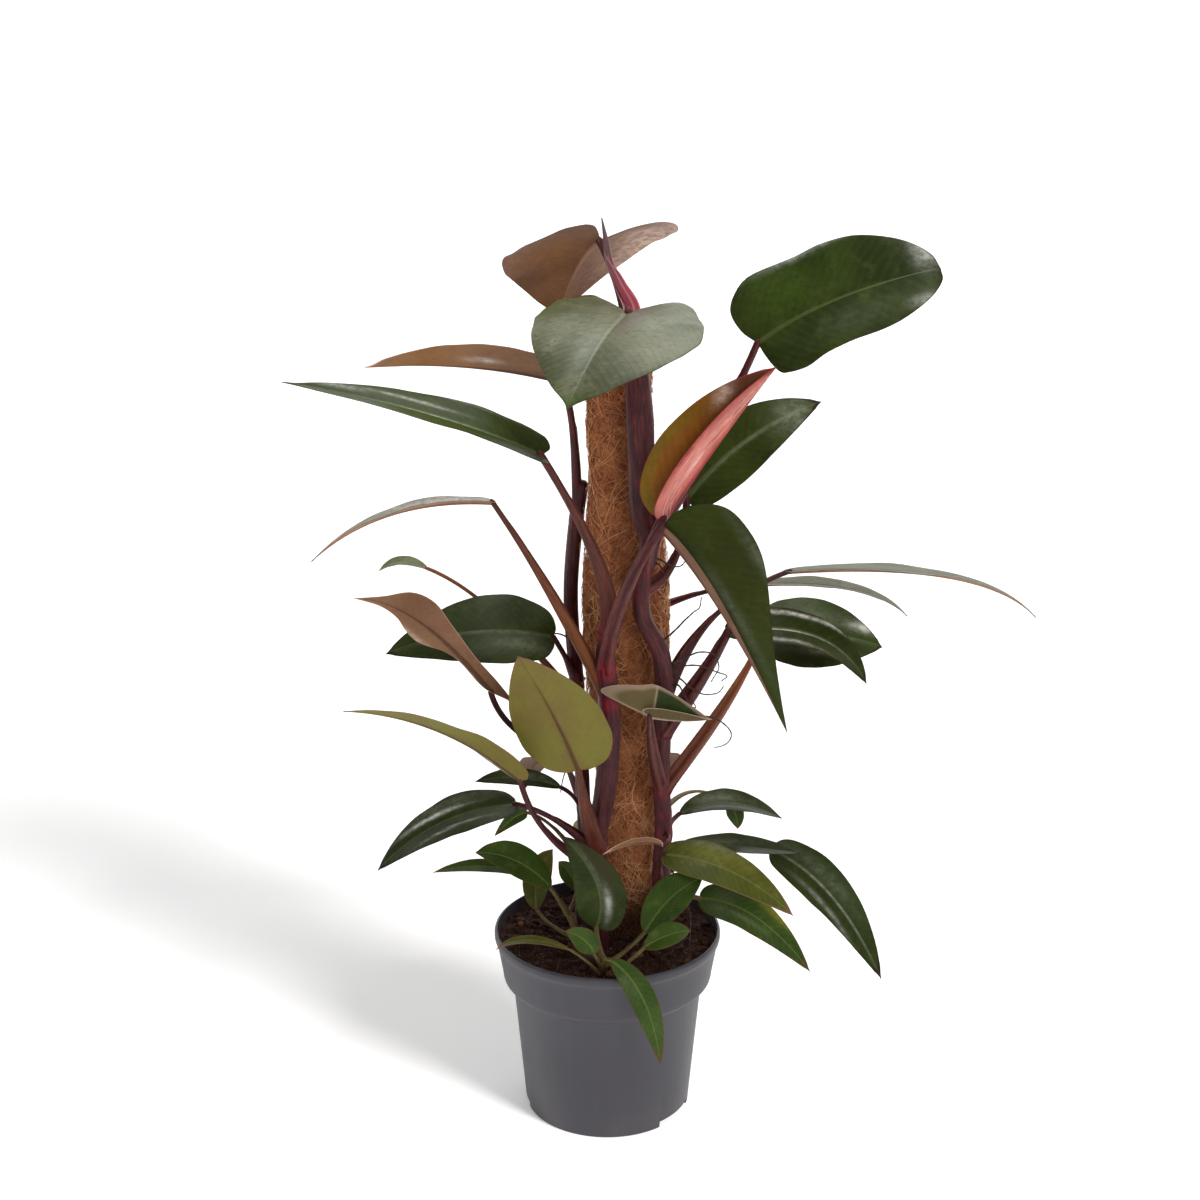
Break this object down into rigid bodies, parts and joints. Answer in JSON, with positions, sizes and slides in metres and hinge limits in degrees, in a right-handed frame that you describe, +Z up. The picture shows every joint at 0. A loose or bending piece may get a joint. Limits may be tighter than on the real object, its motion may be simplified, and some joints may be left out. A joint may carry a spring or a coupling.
{
  "type": "potted climbing philodendron",
  "caption": "Climbing philodendron with long burgundy stalks and heart to lance shaped leaves on a coir pole, in a round grey nursery pot of soil.",
  "frame": {"origin": "centre of the flat underside of the pot", "axes": "+Z up along the pot and pole, -Y towards the front of the plant, +X to its right as seen from the front"},
  "size_m": [0.5865, 0.3004, 0.7521],
  "materials": {
    "pot": "matte mid grey moulded plastic with a fine satin sheen",
    "soil": "dark brown peat with bark fibres and crumbs",
    "coir": "matted warm brown coconut fibre",
    "stake": "bare sawn wood",
    "stem": "burgundy purple living stem, satin",
    "leaf_spike": "crimson rolled new leaf, satin",
    "leaf_green": "dark green glossy leaf, burgundy stalk, coppery underside",
    "leaf_silver": "grey green glossy leaf, burgundy stalk, coppery underside",
    "leaf_fresh": "fresh green juvenile leaf, thin green stalk",
    "leaf_bronze": "bronze brown leaf, burgundy stalk",
    "leaf_olive": "olive green leaf, burgundy stalk",
    "leaf_copper": "coppery brown leaf underside, dark green upper side"
  },
  "bodies": {
    "root": {"pot": "pot", "soil": "soil", "pole_core": "stake", "pole_coir": "coir", "vine_right": "stem", "vine_front": "stem", "vine_left": "stem", "vine_back": "stem", "shoot_left": "leaf_fresh", "shoot_front": "leaf_fresh", "leaf_spike": "leaf_spike", "leaf_top_left": "leaf_copper", "leaf_top_front": "leaf_silver", "leaf_top_right": "leaf_green", "leaf_bronze_left": "leaf_bronze", "leaf_long_left": "leaf_green", "leaf_unrolled": "leaf_bronze", "leaf_behind_unrolled": "leaf_green", "leaf_hanging": "leaf_green", "leaf_drooping_left": "leaf_silver", "leaf_small_left": "leaf_olive", "leaf_dark_left": "leaf_green", "leaf_folded_left": "leaf_bronze", "leaf_olive_front": "leaf_olive", "leaf_curled_front": "leaf_olive", "leaf_far_right": "leaf_silver", "leaf_thin_right": "leaf_silver", "leaf_right": "leaf_green", "leaf_striped_right": "leaf_green", "leaf_olive_left": "leaf_olive", "leaf_low_left": "leaf_green", "leaf_narrow_left": "leaf_green", "leaf_yellow_left": "leaf_fresh", "leaf_brown_front": "leaf_bronze", "leaf_olive_right": "leaf_olive", "leaf_dark_right": "leaf_green", "leaf_low_right": "leaf_green", "leaf_edge_right": "leaf_fresh", "leaf_green_right": "leaf_green", "leaf_tiny_right": "leaf_fresh", "leaf_back_high": "leaf_green", "leaf_back_upper": "leaf_green", "leaf_back_middle": "leaf_olive", "leaf_back_low": "leaf_green", "leaf_back_rim": "leaf_fresh", "leaf_back_left": "leaf_green"}
  },
  "joints": []
}
